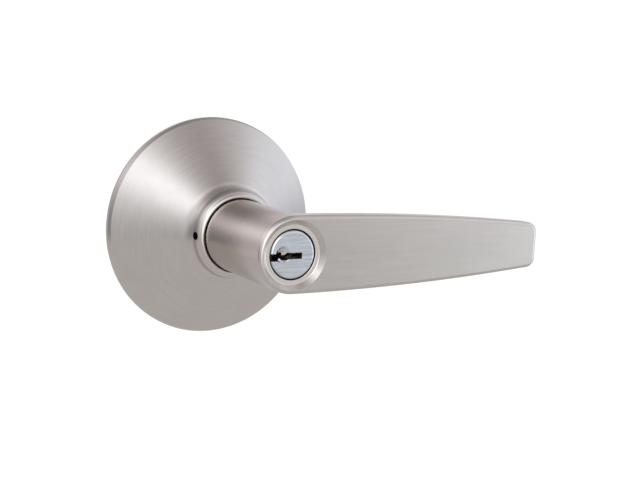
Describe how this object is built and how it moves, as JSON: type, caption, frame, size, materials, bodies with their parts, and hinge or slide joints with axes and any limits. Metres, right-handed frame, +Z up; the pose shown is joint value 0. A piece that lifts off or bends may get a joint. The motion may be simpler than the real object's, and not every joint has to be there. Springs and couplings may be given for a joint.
{
  "type": "lever handle lockset",
  "caption": "Keyed lever handle on a flared round rose: outside half of a door lockset, with spindle, tailpiece and threaded posts behind it.",
  "frame": {"origin": "where the spindle axis meets the face of the door, at the back of the rose", "axes": "+X along the lever towards its tip, +Y into the door along the spindle axis, +Z up"},
  "size_m": [0.1526, 0.1342, 0.0874],
  "materials": {
    "satin_nickel": "satin brushed nickel plate on zinc and steel",
    "plug_nickel": "fine brushed nickel plate on brass",
    "zinc_steel": "zinc plated steel",
    "spring_steel": "oiled spring steel",
    "brass": "turned brass",
    "bronze": "sintered bronze",
    "black_nylon": "moulded black nylon",
    "white_nylon": "moulded natural nylon"
  },
  "bodies": {
    "door_side": {"rose": "satin_nickel", "mounting_plate": "zinc_steel", "bearing_sleeve": "bronze", "spring_cage": "zinc_steel", "post_top": "zinc_steel", "post_bottom": "zinc_steel", "rose_clip_1": "spring_steel", "rose_clip_2": "spring_steel", "rose_clip_3": "spring_steel", "clip_rivet_1": "zinc_steel", "clip_rivet_2": "zinc_steel", "clip_rivet_3": "zinc_steel", "collar_bushing": "black_nylon", "thrust_washer": "bronze", "return_spring": "spring_steel"},
    "lever_side": {"lever": "satin_nickel", "spindle_tube": "zinc_steel", "driver_plate": "zinc_steel", "retaining_ring": "spring_steel", "drive_spindle": "zinc_steel", "cylinder_shell": "brass", "spring_cover": "brass", "cylinder_washer": "white_nylon", "catch_spring": "spring_steel", "pin_spring_1": "spring_steel", "pin_spring_2": "spring_steel", "pin_spring_3": "spring_steel", "pin_spring_4": "spring_steel", "pin_spring_5": "spring_steel"},
    "key_side": {"plug": "plug_nickel", "plug_cap": "brass", "tailpiece": "zinc_steel"},
    "catch": {"catch_plunger": "spring_steel"},
    "key_pin_1": {"key_pin_1": "brass"},
    "key_pin_2": {"key_pin_2": "brass"},
    "key_pin_3": {"key_pin_3": "brass"},
    "key_pin_4": {"key_pin_4": "brass"},
    "key_pin_5": {"key_pin_5": "brass"},
    "driver_pin_1": {"driver_pin_1": "zinc_steel"},
    "driver_pin_2": {"driver_pin_2": "zinc_steel"},
    "driver_pin_3": {"driver_pin_3": "zinc_steel"},
    "driver_pin_4": {"driver_pin_4": "zinc_steel"},
    "driver_pin_5": {"driver_pin_5": "zinc_steel"}
  },
  "joints": [
    {"name": "lever_turn", "type": "hinge", "parent": "door_side", "child": "lever_side", "pos_m": [0, 0, 0], "axis": [0, 1, 0], "range_deg": [-45, 45], "stiffness_Nm_per_rad": 3, "springref_deg": -2.29, "deforming": ["return_spring"]},
    {"name": "plug_turn", "type": "hinge", "parent": "lever_side", "child": "key_side", "pos_m": [0, 0, 0], "axis": [0, 1, 0], "range_deg": [0, 90]},
    {"name": "catch_press", "type": "slide", "parent": "lever_side", "child": "catch", "axis": [1, 0, 0], "range_m": [0, 0.0026], "stiffness_N_per_m": 400, "deforming": ["catch_spring"]},
    {"name": "key_pin_1_slide", "type": "slide", "parent": "key_side", "child": "key_pin_1", "axis": [1, 0, 0], "range_m": [-0.0024, 0]},
    {"name": "key_pin_2_slide", "type": "slide", "parent": "key_side", "child": "key_pin_2", "axis": [1, 0, 0], "range_m": [-0.0013, 0]},
    {"name": "key_pin_3_slide", "type": "slide", "parent": "key_side", "child": "key_pin_3", "axis": [1, 0, 0], "range_m": [-0.0019, 0]},
    {"name": "key_pin_4_slide", "type": "slide", "parent": "key_side", "child": "key_pin_4", "axis": [1, 0, 0], "range_m": [-0.0007, 0]},
    {"name": "key_pin_5_slide", "type": "slide", "parent": "key_side", "child": "key_pin_5", "axis": [1, 0, 0], "range_m": [-0.0021, 0]},
    {"name": "driver_pin_1_slide", "type": "slide", "parent": "lever_side", "child": "driver_pin_1", "axis": [1, 0, 0], "range_m": [-0.0024, 0], "stiffness_N_per_m": 100, "springref_m": -0.004, "deforming": ["pin_spring_1"]},
    {"name": "driver_pin_2_slide", "type": "slide", "parent": "lever_side", "child": "driver_pin_2", "axis": [1, 0, 0], "range_m": [-0.0013, 0], "stiffness_N_per_m": 100, "springref_m": -0.004, "deforming": ["pin_spring_2"]},
    {"name": "driver_pin_3_slide", "type": "slide", "parent": "lever_side", "child": "driver_pin_3", "axis": [1, 0, 0], "range_m": [-0.0019, 0], "stiffness_N_per_m": 100, "springref_m": -0.004, "deforming": ["pin_spring_3"]},
    {"name": "driver_pin_4_slide", "type": "slide", "parent": "lever_side", "child": "driver_pin_4", "axis": [1, 0, 0], "range_m": [-0.0007, 0], "stiffness_N_per_m": 100, "springref_m": -0.004, "deforming": ["pin_spring_4"]},
    {"name": "driver_pin_5_slide", "type": "slide", "parent": "lever_side", "child": "driver_pin_5", "axis": [1, 0, 0], "range_m": [-0.0021, 0], "stiffness_N_per_m": 100, "springref_m": -0.004, "deforming": ["pin_spring_5"]}
  ],
  "couplings": [
    {"joint": "driver_pin_1_slide", "follows": "key_pin_1_slide", "ratio": 1},
    {"joint": "driver_pin_2_slide", "follows": "key_pin_2_slide", "ratio": 1},
    {"joint": "driver_pin_3_slide", "follows": "key_pin_3_slide", "ratio": 1},
    {"joint": "driver_pin_4_slide", "follows": "key_pin_4_slide", "ratio": 1},
    {"joint": "driver_pin_5_slide", "follows": "key_pin_5_slide", "ratio": 1}
  ]
}
